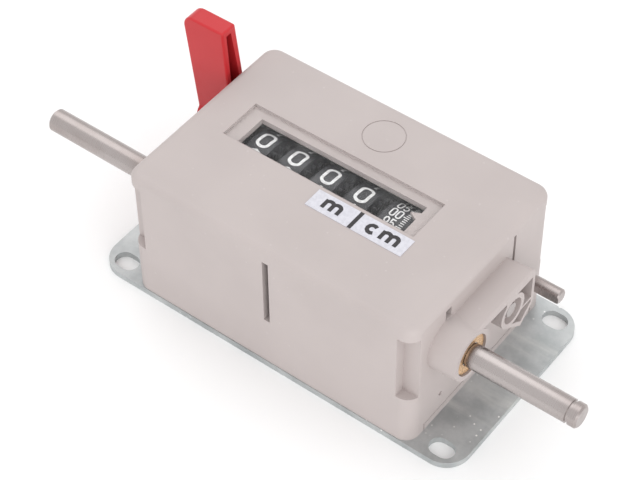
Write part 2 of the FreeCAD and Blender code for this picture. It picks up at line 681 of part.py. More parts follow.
def bush(name, x):
    """A plain bearing with its outer edges broken."""
    profile = [(x[0], "shaft_radius + bush_play"), (x[1], "shaft_radius + bush_play"),
               (x[1], "bush_radius - bush_chamfer"), (f"{x[1]} - bush_chamfer", "bush_radius"),
               (f"{x[0]} + bush_chamfer", "bush_radius"), (x[0], "bush_radius - bush_chamfer")]
    return node(turned(name, profile, "shaft_y", "shaft_z"), name)


def retaining_clip(x, hole, y, z):
    """A C-shaped ring, open to the front."""
    ring = cut(rod("clip_radius", x, y, z), rod(hole, x, y, z))
    gap = box(x, (f"{y} - 2 * clip_radius", y), (f"{z} - clip_opening / 2", f"{z} + clip_opening / 2"))
    return cut(ring, gap)


def shaft_clips():
    clips = [retaining_clip((start, f"{start} + clip_thick"), "groove_radius", "shaft_y", "shaft_z")
             for start in ("clip_left_x", "clip_right_x")]
    return node(fuse(*clips), "shaft_clips")


def thrust_washers():
    washers = []
    for start in ("clip_left_x - washer_thick", "clip_right_x + clip_thick"):
        span = (start, f"{start} + washer_thick")
        washers.append(cut(rod("bush_radius", span, "shaft_y", "shaft_z"),
                           rod("shaft_radius + bush_play", span, "shaft_y", "shaft_z")))
    return node(fuse(*washers), "thrust_washers")


def gear_screw_hole(radius, inner, outer):
    """A radial hole through the gear's hub, to the front."""
    hole = doc.addObject("Part::Cylinder", "Hole")
    bind(hole, Radius=radius, Height=f"({outer}) - ({inner})")
    hole.Placement = Placement(Vector(), Rotation(X_AXIS, 90))
    return place(hole, "gear_start_x - gear_hub_length / 2", f"shaft_y - ({inner})", "shaft_z")


def drive_gear():
    wheel = feature(gear("drive_teeth", "gear_module", "gear_width"), "gear_start_x", "shaft_y", "shaft_z")
    span = ("gear_start_x - gear_hub_length", "gear_end_x")
    hub = rod("gear_hub_radius", (span[0], "gear_start_x"), "shaft_y", "shaft_z")
    bore = rod("shaft_radius", span, "shaft_y", "shaft_z")
    screw = gear_screw_hole("screw_radius", "shaft_radius / 2", "gear_hub_radius + screw_sink")
    return node(cut(fuse(wheel, hub), bore, screw), "drive_gear")


def gear_screw():
    solid = gear_screw_hole("screw_radius", "shaft_radius", "gear_hub_radius - screw_sink")
    return node(solid, "gear_screw")


def idler_spin():
    direction = degrees_between("idler_y", "idler_z", "shaft_y", "shaft_z")
    return mesh_spin("idler_teeth", direction, 0.0, "drive_teeth")


def idler_gear():
    wheel = feature(gear("idler_teeth", "gear_module", "gear_width"), "gear_start_x", "idler_y", "idler_z",
                    idler_spin())
    bore = rod("idler_pin_radius + idler_play", ("gear_start_x", "gear_end_x"), "idler_y", "idler_z")
    return node(cut(wheel, bore), "idler_gear")


def idler_pin():
    shank = rod("idler_pin_radius", ("gear_start_x - side_gap", "upright_right_end"), "idler_y", "idler_z")
    head = rod("2 * idler_pin_radius", ("gear_start_x - side_gap - washer_thick", "gear_start_x - side_gap"),
               "idler_y", "idler_z")
    collar = rod("2 * idler_pin_radius", ("gear_end_x + side_gap", "upright_right_x"), "idler_y", "idler_z")
    return node(fuse(shank, head, collar), "idler_pin")


# ---- number wheels --------------------------------------------------------------------------

def wheel_x(index):
    return f"first_wheel_x + {index} * wheel_pitch"


def heart():
    """Heart cam: its radius grows evenly both ways from the cleft, which faces +Y."""
    low, high = value("heart_low"), value("heart_high")
    steps = 18
    halves = []
    for side in (1, -1):
        points = []
        for step in range(steps + 1):
            share = step / steps
            angle = side * math.pi * share
            radius = low + (high - low) * share
            points.append(Vector(0, radius * math.cos(angle), radius * math.sin(angle)))
        curve = Part.BSplineCurve()
        curve.interpolate(points)
        halves.append(curve.toShape())
    face = Part.Face(Part.Wire(Part.__sortEdges__(halves)))
    return face.extrude(Vector(value("heart_width"), 0, 0))


def wheel_core(index, rim_right):
    """Rim, heart cam and bore that every number wheel has."""
    centre = wheel_x(index)
    cleft = degrees_between("axle_y", "axle_z", "reset_y", "reset_z")
    rim = rod("wheel_radius", (f"{centre} - rim_half", f"{centre} + {rim_right}"), "axle_y", "axle_z")
    cam = feature(heart(), f"{centre} - rim_half - heart_width", "axle_y", "axle_z", cleft)
    return centre, [rim, cam]


def transfer_disc(centre):
    """Disc that steps the next wheel's pinion once a turn."""
    start = f"{centre} - rim_half - heart_width - transfer_width"
    return rod("transfer_radius", (start, f"{start} + transfer_width"), "axle_y", "axle_z")


def bored(centre, pieces):
    bore = rod("axle_radius + wheel_play", (f"{centre} - wheel_pitch", f"{centre} + wheel_pitch"),
               "axle_y", "axle_z")
    return cut(fuse(*pieces), bore)


def number_wheel(index, name):
    centre, pieces = wheel_core(index, "rim_half")
    pieces.append(feature(gear("ring_teeth", "transfer_module", "ring_width"), f"{centre} + rim_half",
                          "axle_y", "axle_z", -90.0))
    if index:
        pieces.append(transfer_disc(centre))
    return node(bored(centre, pieces), f"wheel_{name}")


def cm_wheel():
    centre, pieces = wheel_core(len(WHEEL_NAMES), "cm_rim_right")
    pieces.append(transfer_disc(centre))
    return node(bored(centre, pieces), "wheel_cm")


def cm_gear():
    own_direction = degrees_between("axle_y", "axle_z", "idler_y", "idler_z")
    spin = mesh_spin("cm_teeth", own_direction, idler_spin(), "idler_teeth")
    wheel = feature(gear("cm_teeth", "gear_module", "gear_width"), "gear_start_x", "axle_y", "axle_z", spin)
    collar = rod("hub_radius", ("cm_wheel_x + cm_rim_right", "gear_start_x"), "axle_y", "axle_z")
    bore = rod("axle_radius + wheel_play", ("cm_wheel_x", "gear_end_x"), "axle_y", "axle_z")
    return node(cut(fuse(wheel, collar), bore), "cm_gear")


def wheel_axle():
    return node(rod("axle_radius", ("-case_half_x", "axle_end"), "axle_y", "axle_z"), "wheel_axle")


def axle_spacers():
    spans = [("-inner_x", "first_wheel_x - rim_half - heart_width - side_gap"),
             ("gear_end_x + side_gap", "inner_x")]
    tubes = [cut(rod("spacer_radius", span, "axle_y", "axle_z"), rod("axle_radius", span, "axle_y", "axle_z"))
             for span in spans]
    return node(fuse(*tubes), "axle_spacers")


def pinion(index, name):
    """Eight-tooth pinion between two wheels, in mesh with the ring of the higher one."""
    start = f"{wheel_x(index)} + rim_half + side_gap"
    end = f"{wheel_x(index + 1)} - rim_half - side_gap - pinion_step"
    shape = gear("pinion_teeth", "transfer_module", "ring_width")
    stretch = (value(end) - value(start)) / value("ring_width")
    matrix = FreeCAD.Matrix()
    matrix.scale(stretch, 1, 1)
    wheel = feature(shape.transformGeometry(matrix), start, "axle_y", "pinion_z",
                    90.0 + 180 / value("pinion_teeth"))
    bore = rod("pinion_axle_radius + pinion_play", (start, end), "axle_y", "pinion_z")
    return node(cut(wheel, bore), f"pinion_{name}")


def pinion_axle():
    span = ("upright_left_x", "upright_right_end")
    return node(rod("pinion_axle_radius", span, "axle_y", "pinion_z"), "pinion_axle")


# ---- reset shaft, comb, spring and lever ----------------------------------------------------

def reset_shaft():
    profile = [("reset_left", "0"), ("reset_left", "reset_radius - groove_depth"),
               ("reset_left + groove_depth", "reset_radius")]
    for start in ("-reset_clip_x - clip_thick", "reset_clip_x"):
        grooved(profile, start, "clip_thick", "reset_radius", "reset_groove_radius")
    profile += [("reset_right - groove_depth", "reset_radius"),
                ("reset_right", "reset_radius - groove_depth"), ("reset_right", "0")]
    round_bar = turned("Reset_shaft", profile, "reset_y", "reset_z")
    end = ("reset_right - reset_groove_length", "reset_right + groove_depth")
    groove = box(end, ("reset_y - reset_groove_width / 2", "reset_y + reset_groove_width / 2"),
                 ("reset_z - reset_radius - groove_depth", "reset_z - reset_radius + reset_groove_depth"))
    flat = box(end, ("reset_y - 2 * reset_radius", "reset_y - reset_flat"),
               ("reset_z - 2 * reset_radius", "reset_z + 2 * reset_radius"))
    return node(cut(round_bar, groove, flat, comb_pin_body()), "reset_shaft")


def comb_pin_body():
    return post("comb_pin_radius", "comb_pin_x", "reset_y",
                ("reset_z - comb_radius", "reset_z + comb_radius"))


def comb_pin():
    return node(comb_pin_body(), "comb_pin")


def finger_corners():
    """Side view of a finger that points away from the shaft, drawn along +Z."""
    return [("-finger_thick", "0"), ("finger_thick", "0"), ("finger_thick / 2", "finger_reach"),
            ("-finger_thick / 2", "finger_reach")]


def finger(index):
    """One finger, level with its wheel's heart cam, drawn back by the lever's travel."""
    engaged = degrees_between("reset_y", "reset_z", "axle_y", "axle_z")
    x = f"{wheel_x(index)} - rim_half - heart_width / 2 - finger_width / 2"
    solid = extrude(outline(finger_corners(), FACE_YZ), "finger_width")
    holder = doc.addObject("Part::Compound", "Finger")
    holder.Links = [solid]
    holder.Placement = Placement(Vector(), Rotation(X_AXIS, engaged - value("reset_travel") - 90))
    return place(holder, x, "reset_y", "reset_z")


def reset_comb():
    span = ("comb_left", "comb_right")
    sleeve = rod("comb_radius", span, "reset_y", "reset_z")
    bore = rod("reset_radius", span, "reset_y", "reset_z")
    fingers = [finger(index) for index in range(len(WHEEL_NAMES) + 1)]
    return node(cut(fuse(sleeve, *fingers), bore, comb_pin_body()), "reset_comb")


def reset_clips():
    clips = [retaining_clip((start, f"{start} + clip_thick"), "reset_groove_radius", "reset_y", "reset_z")
             for start in ("-reset_clip_x - clip_thick", "reset_clip_x")]
    return node(fuse(*clips), "reset_clips")


def reset_spring():
    """Torsion spring round the reset shaft, with one leg down to the bottom frame."""
    radius, wire, pitch = value("spring_radius"), value("spring_wire"), value("spring_pitch")
    coil = Part.makeHelix(pitch, pitch * value("spring_turns"), radius)
    section = Part.Wire(Part.makeCircle(wire / 2, Vector(radius, 0, 0), Vector(0, 1, 0)))
    solid = Part.Wire(coil).makePipeShell([section], True, True)
    leg_length = value("reset_z - floor_top")
    leg = Part.makeCylinder(wire / 2, leg_length, Vector(radius, 0, 0), Vector(0, -1, 0))
    return node(feature(solid.fuse(leg), "spring_left", "reset_y", "reset_z", 90.0, ALONG_X), "reset_spring")


def lever_front_view():
    """The lever seen along Y: it leans outwards and widens towards its top."""
    return [("lever_in_low", "lever_low - lever_hub"), ("lever_in_low", "lever_low"),
            ("lever_in_top", "lever_top"), ("lever_out_top", "lever_top"),
            ("lever_out_low", "lever_low"), ("lever_out_low", "lever_low - lever_hub")]


def lever_side_view(front, back, low, top):
    """The lever seen along X, drawn in by wall thicknesses."""
    return [(f"lever_front + {front}", low), (f"lever_back_low - {back}", low),
            (f"lever_back_top - {back}", f"lever_top - {top}"),
            (f"lever_front + {front}", f"lever_top - {top}")]


def reset_lever():
    """Moulded lever: a hub on the reset shaft and a blade with a deep slot in its inner side."""
    width = ("lever_front - lever_hub", "lever_back_low + lever_hub")
    length = ("lever_out_top - lever_hub", "lever_in_low")
    blade = overlap(slab_xz(lever_front_view(), width),
                    slab_yz(lever_side_view("0", "0", "lever_low - lever_hub", "0"), length))

    def corner(edge):
        bounds = edge.BoundBox
        at_top = abs(bounds.Center.z - value("lever_top")) < value("lever_edge")
        outer = bounds.Center.x < value("lever_out_top") + value("lever_edge")
        return at_top and outer and bounds.YLength > value("lever_edge")

    def rim(edge):
        bounds = edge.BoundBox
        at_top = bounds.ZMax > value("lever_top - lever_edge")
        level = bounds.YLength > value("lever_edge") and bounds.ZLength < value("lever_edge")
        return bounds.ZMin > value("lever_low") and (at_top or not level)

    blade = filleted(blade, ("lever_corner", corner))
    rounded = filleted(blade, ("lever_edge", rim))
    hub = rod("lever_hub", ("lever_out_low", "lever_in_low"), "reset_y", "reset_z")
    slot = slab_yz(lever_side_view("lever_slot_front", "lever_slot_back", "lever_slot_low", "lever_slot_top"),
                   ("lever_in_top - lever_slot_depth", "lever_in_low + lever_clear / 2"))
    bore = rod("reset_radius", length, "reset_y", "reset_z")
    return node(cut(fuse(rounded, hub), slot, bore), "reset_lever")


# ---- build, check and write -----------------------------------------------------------------

def build():
    base_plate()
    base_screws()
    bottom_frame()
    housing()
    window_pane()
    unit_label()
    drive_shaft()
    bush("bush_right", ("bush_right_face - bush_right_length", "bush_right_face"))
    bush("bush_left", ("bush_left_face", "bush_left_face + bush_left_length"))
    shaft_clips()
    thrust_washers()
    drive_gear()
    gear_screw()
    idler_gear()
    idler_pin()
    for index, name in enumerate(WHEEL_NAMES):
        number_wheel(index, name)
        pinion(index, name)
    cm_wheel()
    cm_gear()
    wheel_axle()
    axle_spacers()
    pinion_axle()
    reset_shaft()
    comb_pin()
    reset_comb()
    reset_clips()
    reset_spring()
    reset_lever()


def check():
    """Stop if any object failed or any sub-part has no valid shape."""
    failed = [item.Name for item in doc.Objects if {"Invalid", "Error"} & set(item.State)]
    if failed:
        raise RuntimeError(f"objects that failed: {failed}")
    for item in nodes:
        if item.Shape.isNull() or not item.Shape.isValid():
            raise RuntimeError(f"{item.Label} has no valid shape")


build()
doc.recompute()
check()
os.makedirs("parts", exist_ok=True)
for item in nodes:
    item.Shape.exportStep(f"parts/{item.Label}.step")
    print(f"{item.Label:16s} {item.Shape.Volume:10.2f} mm3, {len(item.Shape.Solids)} solid(s)")
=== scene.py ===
import math
import bmesh
import bpy
from mathutils import Matrix, Vector


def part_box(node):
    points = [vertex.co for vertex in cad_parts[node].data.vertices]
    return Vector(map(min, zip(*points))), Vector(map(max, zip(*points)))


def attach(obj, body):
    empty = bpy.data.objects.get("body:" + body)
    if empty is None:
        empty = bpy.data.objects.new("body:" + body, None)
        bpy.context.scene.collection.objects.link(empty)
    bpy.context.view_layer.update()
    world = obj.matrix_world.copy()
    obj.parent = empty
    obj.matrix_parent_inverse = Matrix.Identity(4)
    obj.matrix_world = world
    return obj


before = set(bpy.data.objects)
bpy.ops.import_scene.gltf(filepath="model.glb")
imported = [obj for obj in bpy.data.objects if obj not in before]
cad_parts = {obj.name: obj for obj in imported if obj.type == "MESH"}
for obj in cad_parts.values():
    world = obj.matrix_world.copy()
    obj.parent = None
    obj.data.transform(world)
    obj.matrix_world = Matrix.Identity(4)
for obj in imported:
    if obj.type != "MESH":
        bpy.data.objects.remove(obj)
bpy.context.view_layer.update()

# Mechanical metre counter: finishes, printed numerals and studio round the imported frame.

MM = 0.001

# ---- places read from the frame -------------------------------------------------------------


def middle(name):
    low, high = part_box(name)
    return (low + high) / 2


WHEELS = ("1000m", "100m", "10m", "1m")
CM_LOW, CM_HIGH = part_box("wheel_cm")
AXLE = middle("wheel_axle")
RIM_RADIUS = (CM_HIGH.z - CM_LOW.z) / 2
LABEL_LOW, LABEL_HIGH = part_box("unit_label")


# ---- shader maths as Python -----------------------------------------------------------------

class Wire:
    """A node socket that takes part in sums."""

    def __init__(self, paint, socket):
        self.paint, self.socket = paint, socket

    def maths(self, operation, first, second):
        return self.paint.node("Math", {"operation": operation}, {0: first, 1: second})

    def __add__(self, other):
        return self.maths("ADD", self, other)

    def __sub__(self, other):
        return self.maths("SUBTRACT", self, other)

    def __rsub__(self, other):
        return self.maths("SUBTRACT", other, self)

    def __mul__(self, other):
        return self.maths("MULTIPLY", self, other)

    __radd__, __rmul__ = __add__, __mul__

    def rise(self, low, high):
        """0 below low, 1 above high and smooth between."""
        settings = {"interpolation_type": "SMOOTHSTEP"}
        return self.paint.node("MapRange", settings, {"Value": self, "From Min": low, "From Max": high})


class Paint:
    """A node material round one Principled shader."""

    def __init__(self, name, **constants):
        self.material = bpy.data.materials.new(name)
        self.material.use_nodes = True
        self.tree = self.material.node_tree
        self.shader = self.tree.nodes["Principled BSDF"]
        self.place = self.node("TexCoord", out="Object")
        self.set(**constants)

    def node(self, kind, settings=None, sockets=None, out=0):
        """Add a node: its settings first, then the values or links of its sockets."""
        node = self.tree.nodes.new("ShaderNode" + kind)
        for name, setting in (settings or {}).items():
            setattr(node, name, setting)
        for name, thing in (sockets or {}).items():
            self.feed(node.inputs[name], thing)
        return Wire(self, node.outputs[out])

    def feed(self, socket, thing):
        if isinstance(thing, Wire):
            self.tree.links.new(thing.socket, socket)
        elif socket.type == "RGBA":
            socket.default_value = (*thing, 1.0)
        else:
            socket.default_value = thing

    def set(self, **sockets):
        """Set the shader's sockets; an underscore stands for a space."""
        for name, thing in sockets.items():
            self.feed(self.shader.inputs[name.replace("_", " ")], thing)

    def noise(self, scale, detail=2.0, roughness=0.5, stretch=(1.0, 1.0, 1.0)):
        where = self.node("Mapping", {}, {"Vector": self.place, "Scale": stretch})
        return self.node("TexNoise", {}, {"Vector": where, "Scale": scale, "Detail": detail,
                                          "Roughness": roughness})

    def specks(self, scale, size, share):
        """Sparse round specks: 1 in a speck and 0 elsewhere."""
        cells = {"Vector": self.place, "Scale": scale}
        near = self.node("TexVoronoi", {}, cells, out="Distance")
        chance = self.node("SeparateColor", {}, {"Color": self.node("TexVoronoi", {}, cells, out="Color")})
        return (1 - near.rise(0.5 * size, size)) * chance.rise(1 - share, 1.01 - share)

    def mix(self, share, first, second):
        """Blend two colours."""
        return self.node("Mix", {"data_type": "RGBA"}, {0: share, 6: first, 7: second}, out=2)

    def bump(self, height, strength, distance):
        self.set(Normal=self.node("Bump", {}, {"Height": height, "Strength": strength,
                                               "Distance": distance}))


# ---- finishes -------------------------------------------------------------------------------

def moulded_grey():
    """Fine matte plastic, warm light grey, with spark-eroded grain and a few paler specks."""
    paint = Paint("moulded_grey")
    cloud = paint.noise(55, 4.0)
    grain = paint.noise(4200, 3.0, 0.6)
    fleck = paint.specks(900, 0.25, 0.05)
    base = paint.mix(cloud.rise(0.3, 0.7), (0.470, 0.415, 0.403), (0.497, 0.440, 0.427))
    paint.set(Base_Color=paint.mix(fleck * 0.35, base, (0.60, 0.55, 0.54)))
    paint.set(Roughness=cloud * 0.06 + grain * 0.12 + 0.42)
    paint.bump(grain, 0.18, 0.00004)
    return paint


def zinc_plate():
    """Zinc-plated sheet: bluish, cloudy, with rolling streaks and bright specks."""
    paint = Paint("zinc_plate", Metallic=0.85)
    cloud = paint.noise(95, 6.0, 0.65)
    streak = paint.noise(260, 3.0, 0.6, (0.12, 1.0, 1.0))
    speck = paint.specks(1100, 0.3, 0.22) * paint.noise(60, 2.0).rise(0.45, 0.6)
    base = paint.mix(cloud.rise(0.3, 0.7), (0.40, 0.42, 0.425), (0.60, 0.615, 0.615))
    worn = paint.mix(streak.rise(0.55, 0.75) * 0.35, base, (0.80, 0.80, 0.76))
    paint.set(Base_Color=paint.mix(speck, worn, (1.0, 1.0, 0.98)))
    paint.set(Roughness=cloud * 0.25 + streak * 0.12 + 0.34)
    paint.bump(cloud * 0.6 + streak * 0.4, 0.25, 0.00003)
    return paint


def ground_steel():
    """Centreless-ground bar: fine rings round the shaft and faint rosy-brown tarnish."""
    paint = Paint("ground_steel", Metallic=1.0)
    ring = paint.noise(1500, 3.0, 0.6, (1.0, 0.03, 0.03))
    tarnish = paint.noise(70, 4.0, 0.6, (0.35, 1.0, 1.0))
    paint.set(Base_Color=paint.mix(tarnish.rise(0.4, 0.75), (0.45, 0.41, 0.40), (0.29, 0.235, 0.22)))
    paint.set(Roughness=ring * 0.12 + tarnish * 0.1 + 0.16)
    paint.bump(ring, 0.15, 0.00002)
    return paint


def spring_wire():
    """Dark drawn wire and clips."""
    paint = Paint("spring_wire", Metallic=1.0)
    draw_mark = paint.noise(900, 3.0)
    paint.set(Base_Color=paint.mix(draw_mark, (0.22, 0.21, 0.20), (0.36, 0.34, 0.32)))
    paint.set(Roughness=draw_mark * 0.2 + 0.25)
    return paint


def wheel_black():
    """Satin anthracite moulding, blotched where the ink was wiped off."""
    paint = Paint("wheel_black")
    blotch = paint.noise(420, 4.0, 0.6)
    base = paint.mix(blotch.rise(0.35, 0.7), (0.020, 0.020, 0.024), (0.050, 0.050, 0.056))
    paint.set(Base_Color=base, Roughness=0.62 - blotch * 0.3)
    paint.bump(paint.noise(2600, 2.0), 0.12, 0.00003)
    return paint


def numeral_white():
    """Printed white, a little thin in places."""
    paint = Paint("numeral_white", Roughness=0.55)
    thin = paint.noise(1300, 3.0)
    paint.set(Base_Color=paint.mix(thin.rise(0.3, 0.6), (0.66, 0.65, 0.65), (0.86, 0.86, 0.86)))
    return paint


def print_black():
    paint = Paint("print_black", Roughness=0.5)
    cover = paint.noise(1800, 3.0)
    paint.set(Base_Color=paint.mix(cover.rise(0.3, 0.6), (0.035, 0.030, 0.034), (0.016, 0.014, 0.016)))
    return paint


def sintered_bronze():
    """Porous bronze, darker where oil sits in the pores."""
    paint = Paint("sintered_bronze", Metallic=0.85)
    pore = paint.noise(2400, 3.0, 0.7)
    oil = paint.noise(300, 3.0)
    base = paint.mix(pore.rise(0.35, 0.6), (0.40, 0.24, 0.12), (0.80, 0.54, 0.31))
    paint.set(Base_Color=paint.mix(oil.rise(0.55, 0.8) * 0.5, base, (0.36, 0.20, 0.10)))
    paint.set(Roughness=pore * 0.2 + 0.3)
    paint.bump(pore, 0.3, 0.00003)
    return paint


def signal_red():
    """Polished red moulding with a faint orange peel and hairline rub marks."""
    paint = Paint("signal_red", Specular_IOR_Level=0.3, Coat_Weight=0.08, Coat_Roughness=0.15)
    cloud = paint.noise(80, 3.0)
    rub = paint.noise(500, 2.0, 0.5, (1.0, 0.15, 0.6))
    paint.set(Base_Color=paint.mix(cloud, (0.50, 0.018, 0.024), (0.58, 0.032, 0.038)))
    paint.set(Roughness=cloud * 0.08 + rub.rise(0.55, 0.8) * 0.12 + 0.26)
    paint.bump(paint.noise(700, 2.0), 0.1, 0.00004)
    return paint


def clear_pane():
    """Clear moulded pane with faint haze."""
    paint = Paint("clear_pane", Base_Color=(0.86, 0.86, 0.86), IOR=1.49, Roughness=0.06)
    haze = paint.noise(240, 4.0, 0.6)
    paint.set(Alpha=haze.rise(0.4, 0.8) * 0.03 + 0.02)
    return paint


def label_white():
    """Coated label stock with a slight fibre."""
    paint = Paint("label_white")
    fibre = paint.noise(1500, 4.0, 0.6)
    paint.set(Base_Color=paint.mix(fibre.rise(0.35, 0.65), (0.58, 0.575, 0.63), (0.66, 0.655, 0.71)))
    paint.set(Roughness=fibre * 0.2 + 0.35)
    paint.bump(fibre, 0.15, 0.00003)
    return paint


def white_acetal():
    """Natural acetal of the gears and pinions."""
    paint = Paint("white_acetal")
    cloud = paint.noise(200, 2.0)
    paint.set(Base_Color=paint.mix(cloud, (0.72, 0.70, 0.66), (0.80, 0.78, 0.74)))
    paint.set(Roughness=cloud * 0.1 + 0.35)
    return paint


FINISHES = {
    moulded_grey: ["housing", "bottom_frame"],
    zinc_plate: ["base_plate", "base_screws", "reset_comb"],
    ground_steel: ["drive_shaft", "reset_shaft", "wheel_axle", "pinion_axle", "idler_pin", "thrust_washers",
                   "comb_pin"],
    spring_wire: ["shaft_clips", "reset_clips", "reset_spring", "gear_screw"],
    wheel_black: ["wheel_cm"] + [f"wheel_{name}" for name in WHEELS],
    sintered_bronze: ["bush_left", "bush_right", "drive_gear"],
    signal_red: ["reset_lever"],
    clear_pane: ["window_pane"],
    label_white: ["unit_label"],
    white_acetal: ["idler_gear", "cm_gear", "axle_spacers"] + [f"pinion_{name}" for name in WHEELS],
}


def dress_nodes():
    for finish, names in FINISHES.items():
        material = finish().material
        for name in names:
            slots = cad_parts[name].data.materials
            slots.clear()
            slots.append(material)


# ---- strokes --------------------------------------------------------------------------------
# A character is a list of strokes on a cell 1 wide and 1 high, with (0, 0) in its middle.  A
# stroke is a list of centre-line points; arcs are worked out by bend().

BEND_STEPS = 8


def bend(x, y, wide, high, start, end):
    """Points on an ellipse, between two angles in degrees."""
    angles = [math.radians(start + (end - start) * step / BEND_STEPS) for step in range(BEND_STEPS + 1)]
    return [(x + wide * math.cos(angle), y + high * math.sin(angle)) for angle in angles]


def digit_strokes(digit):
    """Block numerals with rounded turns."""
    half, bow, top = 0.5, 0.22, 0.5
    quarter = 0.25
    strokes = {
        0: [bend(0, top - bow, half, bow, 0, 180) + bend(0, bow - top, half, bow, 180, 360) +
            [(half, top - bow)]],
        1: [[(-half * 0.6, top * 0.56), (half * 0.2, top), (half * 0.2, -top)]],
        2: [bend(0, quarter, half, quarter, 170, 0) + [(half * 0.75, 0.06), (-half, -top), (half, -top)]],
        3: [bend(0, quarter, half * 0.92, quarter, 150, -90), bend(0, -quarter, half, quarter, 90, -160)],
        4: [[(half, -quarter * 0.8), (-half, -quarter * 0.8), (half * 0.25, top)],
            [(half * 0.45, quarter * 0.4), (half * 0.45, -top)]],
        5: [[(half * 0.9, top), (-half * 0.8, top), (-half * 0.9, 0.06)] +
            bend(0, -0.17, half, 0.33, 120, -150)],
        6: [bend(0, -0.19, half, 0.31, 180, -180), bend(half * 0.9, -0.15, half * 1.9, 0.65, 180, 100)],
        7: [[(-half, top), (half, top), (-half * 0.3, -top)]],
        8: [bend(0, quarter, half * 0.9, quarter, -90, 270), bend(0, -quarter, half, quarter, 90, 450)],
        9: [bend(0, 0.19, half, 0.31, 0, 360), bend(-half * 0.9, 0.15, half * 1.9, 0.65, 0, -80)],
    }
    return strokes[digit]


def letter_m(width):
    """Two arches on three legs, from the baseline at -0.5 to the shoulder at 0.5."""
    leg = width / 2
    strokes = [[(-leg, 0.5), (-leg, -0.5)]]
    for start in (-leg, 0.0):
        arch = bend(start + leg / 2, 0.14, leg / 2, 0.30, 180, 0)
        strokes.append([(start, 0.0)] + arch + [(start + leg, -0.5)])
    return strokes


def letter_c(width):
    return [bend(0, 0, width / 2, 0.42, 48, 312)]


# ---- ribbons --------------------------------------------------------------------------------

def side_points(points, half):
    """The two edges of a ribbon along a centre line, mitred at its corners."""
    spots = [Vector(point) for point in points]
    runs = [(after - before).normalized() for before, after in zip(spots, spots[1:])]
    left, right = [], []
    for spot, before, after in zip(spots, [runs[0]] + runs, runs + [runs[-1]]):
        along = (before + after) / 2
        reach = half / max(along.length_squared, 0.35)
        across = Vector((-along.y, along.x)) * reach
        left.append(spot + across)
        right.append(spot - across)
    return left, right


def divided(points, longest):
    """The same line with its long runs divided, so that it can follow a rim."""
    result = [points[0]]
    for start, end in zip(points, points[1:]):
        length = math.dist(start, end)
        pieces = math.ceil(length / longest)
        for step in range(1, pieces + 1):
            share = step / pieces
            result.append(tuple(a + (b - a) * share for a, b in zip(start, end)))
    return result


def add_ribbon(mesh, points, half, lift, level=1):
    """A closed flat ribbon; lift(point, level) puts a flat point in space, level 0 at the foot."""
    rows = []
    for left, right in zip(*side_points(points, half)):
        corners = ((left, level), (right, level), (right, 0), (left, 0))
        rows.append([mesh.verts.new(lift(spot, height)) for spot, height in corners])
    for row, following in zip(rows, rows[1:]):
        for index in range(4):
            after = (index + 1) % 4
            mesh.faces.new((row[index], row[after], following[after], following[index]))
    mesh.faces.new(reversed(rows[0]))
    mesh.faces.new(rows[-1])


def rim_lift(x, angle, thick):
    """Wrap a flat drawing round a wheel's rim, its middle at an angle behind the top."""
    sunk = 0.02 * MM

    def lift(spot, level):
        turn = angle + spot[1] / RIM_RADIUS
        radius = RIM_RADIUS + (thick * level or -sunk)
        return (x + spot[0], AXLE.y + radius * math.sin(turn), AXLE.z + radius * math.cos(turn))
    return lift


def flat_lift(x, y, z, thick):
    def lift(spot, level):
        return (x + spot[0], y + spot[1], z + thick * level)
    return lift


def add_strokes(mesh, strokes, size, stroke, lift):
    """Draw strokes at a size of their own, less the stroke's width; each lies a hair above the last."""
    wide, high = size[0] - stroke, size[1] - stroke
    longest, step = 0.6 * MM, 0.15
    for index, points in enumerate(strokes):
        scaled = [(x * wide, y * high) for x, y in points]
        level = 1 + step * index
        add_ribbon(mesh, divided(scaled, longest), stroke / 2, lift, level)


def finish_piece(name, mesh, paint, body):
    data = bpy.data.meshes.new(name)
    bmesh.ops.recalc_face_normals(mesh, faces=mesh.faces)
    mesh.to_mesh(data)
    mesh.free()
    data.materials.append(paint.material)
    piece = bpy.data.objects.new(name, data)
    bpy.context.scene.collection.objects.link(piece)
    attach(piece, body)


# ---- numerals on the wheels -----------------------------------------------------------------

READING_ANGLE = math.radians(6.5)
PRINT_THICK = 0.03 * MM
METRE_SIZE, METRE_STROKE = (3.15 * MM, 4.85 * MM), 0.66 * MM
WHEEL_LEAD = {"1000m": 2.2, "100m": 1.2, "10m": 0.0, "1m": 0.0}      # degrees of play in the transfer
RIM_FROM_SIDE, CM_RIM_FROM_SIDE = 3.5 * MM, 4.4 * MM                 # middle of the rim to the right side
DIGIT_COUNT, CM_NUMBER_COUNT, CM_STEP = 10, 20, 5
CM_ANGLE = math.radians(4.4)
CM_SIZE, CM_STROKE = (1.25 * MM, 2.42 * MM), 0.30 * MM
CM_TENS_X, CM_UNITS_X = -0.91 * MM, 0.53 * MM                        # from the middle of the rim
TICK_END, TICK_SHORT, TICK_LONG = 2.73 * MM, 0.9 * MM, 1.3 * MM
TICK_WIDE, TICK_COUNT = 0.22 * MM, 100


def metre_numerals(name, paint):
    mesh = bmesh.new()
    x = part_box(f"wheel_{name}")[1].x - RIM_FROM_SIDE
    for digit in range(DIGIT_COUNT):
        angle = READING_ANGLE + math.radians(WHEEL_LEAD[name] + 360 / DIGIT_COUNT * digit)
        add_strokes(mesh, digit_strokes(digit), METRE_SIZE, METRE_STROKE, rim_lift(x, angle, PRINT_THICK))
    finish_piece(f"numerals_{name}", mesh, paint, f"metre_{name}")


